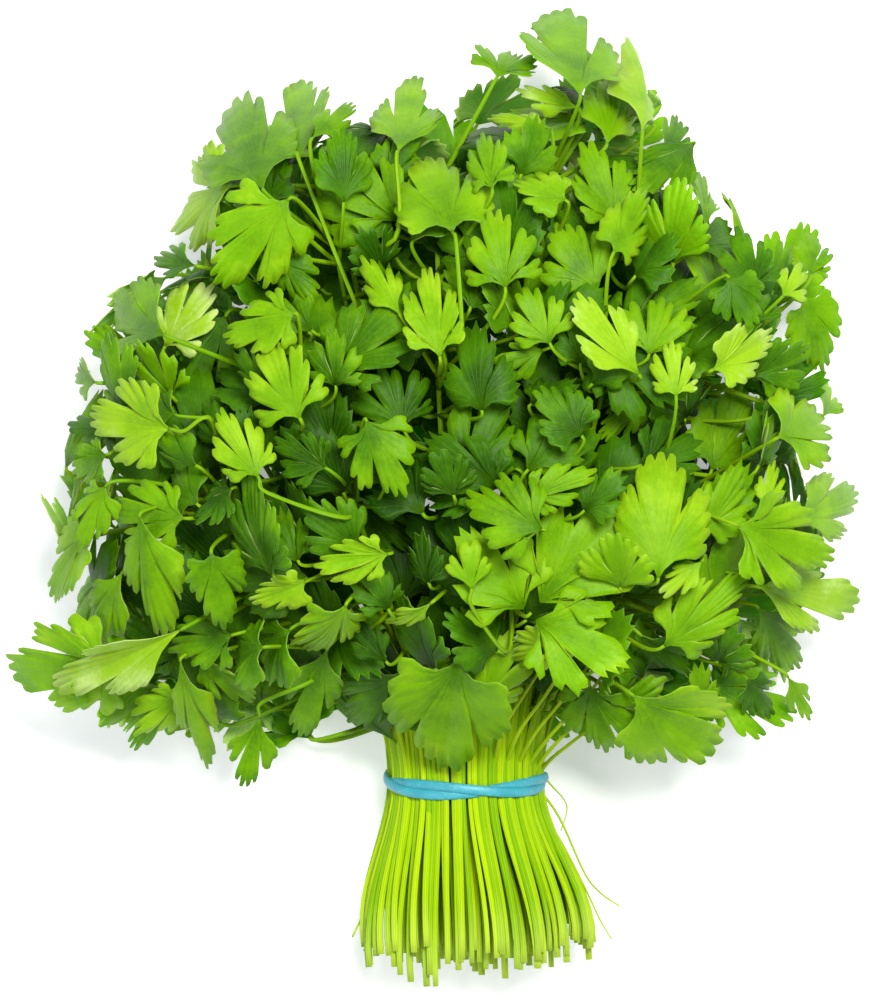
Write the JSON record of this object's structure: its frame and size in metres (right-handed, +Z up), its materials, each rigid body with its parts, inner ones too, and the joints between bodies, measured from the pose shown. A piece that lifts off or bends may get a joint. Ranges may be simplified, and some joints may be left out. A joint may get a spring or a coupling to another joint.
{
  "type": "coriander bunch",
  "caption": "Bunch of fresh coriander lying on its back, its thin stems gathered by a doubled rubber band and fanning out into a dense rounded head of toothed leaves.",
  "frame": {"origin": "middle of the footprint on the surface that the bunch lies on", "axes": "+Y from the cut stem ends to the leaf tips, +Z up from the surface, +X across the bunch"},
  "size_m": [0.245, 0.2768, 0.1096],
  "materials": {
    "herb_green": "fresh green leaves and paler stems, soft satin",
    "band_rubber": "teal blue rubber band, smooth satin"
  },
  "bodies": {
    "root": {"sprig_01": "herb_green", "sprig_02": "herb_green", "sprig_03": "herb_green", "sprig_04": "herb_green", "sprig_05": "herb_green", "sprig_06": "herb_green", "sprig_07": "herb_green", "sprig_08": "herb_green", "sprig_09": "herb_green", "sprig_10": "herb_green", "sprig_11": "herb_green", "sprig_12": "herb_green", "sprig_13": "herb_green", "sprig_14": "herb_green", "sprig_15": "herb_green", "sprig_16": "herb_green", "sprig_17": "herb_green", "sprig_18": "herb_green", "sprig_19": "herb_green", "sprig_20": "herb_green", "sprig_21": "herb_green", "sprig_22": "herb_green", "sprig_23": "herb_green", "sprig_24": "herb_green", "sprig_25": "herb_green", "sprig_26": "herb_green", "sprig_27": "herb_green", "sprig_28": "herb_green", "sprig_29": "herb_green", "sprig_30": "herb_green", "sprig_31": "herb_green", "sprig_32": "herb_green", "sprig_33": "herb_green", "sprig_34": "herb_green", "sprig_35": "herb_green", "sprig_36": "herb_green", "sprig_37": "herb_green", "rubber_band": "band_rubber"}
  },
  "joints": []
}
